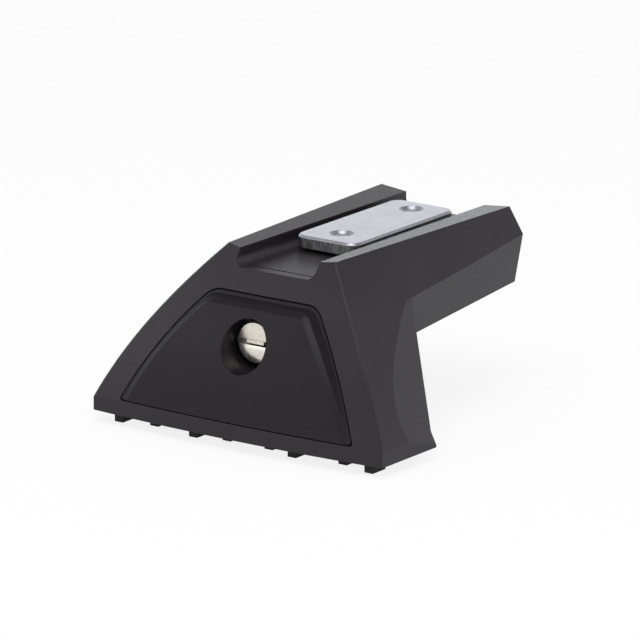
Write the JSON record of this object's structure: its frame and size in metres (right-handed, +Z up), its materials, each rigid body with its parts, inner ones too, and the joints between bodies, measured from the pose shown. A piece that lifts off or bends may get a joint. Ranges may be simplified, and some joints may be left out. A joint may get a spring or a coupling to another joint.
{
  "type": "roof bar foot",
  "caption": "Cast roof bar foot with a leaning leg, an arm with an open bar channel and clamp plate, a lockable front cover and a nubbed rubber base pad.",
  "frame": {"origin": "on the axis of the roof bolt, at the face of its boss, which is the level of the roof", "axes": "+X along the base to the right as seen from the front, +Y inboard along the arm, +Z up"},
  "size_m": [0.1408, 0.1458, 0.0732],
  "materials": {
    "leg_coat": "satin black powder coat on die-cast aluminium",
    "cover_plastic": "fine moulded texture, black",
    "pad_rubber": "moulded black rubber",
    "plate_zinc": "bright zinc plate with a fine grain",
    "screw_steel": "zinc plated steel",
    "washer_steel": "zinc plated steel",
    "lock_nickel": "bright nickel plate",
    "lock_zinc": "plain die-cast zinc",
    "spring_steel": "oiled spring steel",
    "wafer_brass": "stamped brass"
  },
  "bodies": {
    "leg": {"leg_body": "leg_coat", "base_pad": "pad_rubber", "front_clamp_washer": "washer_steel", "rear_clamp_washer": "washer_steel"},
    "cover": {"front_cover": "cover_plastic", "lock_housing": "lock_zinc", "lock_clip": "spring_steel"},
    "plug": {"lock_plug": "lock_nickel", "lock_cam": "lock_zinc", "lock_cam_screw": "screw_steel", "lock_wafer_1": "wafer_brass", "lock_wafer_2": "wafer_brass", "lock_wafer_3": "wafer_brass", "lock_wafer_4": "wafer_brass", "lock_wafer_5": "wafer_brass"},
    "plate": {"clamp_plate": "plate_zinc"},
    "front_screw": {"front_clamp_screw": "screw_steel"},
    "rear_screw": {"rear_clamp_screw": "screw_steel"}
  },
  "joints": [
    {"name": "cover_pull", "type": "slide", "parent": "leg", "child": "cover", "axis": [0, -1, 0], "range_m": [0, 0.045]},
    {"name": "lock_turn", "type": "hinge", "parent": "cover", "child": "plug", "pos_m": [0, 0, 0.0404], "axis": [0, -1, 0], "range_deg": [0, 90]},
    {"name": "front_screw_turn", "type": "hinge", "parent": "leg", "child": "front_screw", "pos_m": [0, 0.0529, 0.059], "axis": [0, 0, 1], "range_deg": [-1080, 0]},
    {"name": "rear_screw_turn", "type": "hinge", "parent": "leg", "child": "rear_screw", "pos_m": [0, 0.1009, 0.059], "axis": [0, 0, 1], "range_deg": [-1080, 0]},
    {"name": "plate_lift", "type": "slide", "parent": "leg", "child": "plate", "axis": [0, 0, 1], "range_m": [0, 0.003]}
  ],
  "couplings": [
    {"joint": "front_screw_turn", "follows": "plate_lift", "rad_per_m": -6283.2},
    {"joint": "rear_screw_turn", "follows": "plate_lift", "rad_per_m": -6283.2}
  ]
}
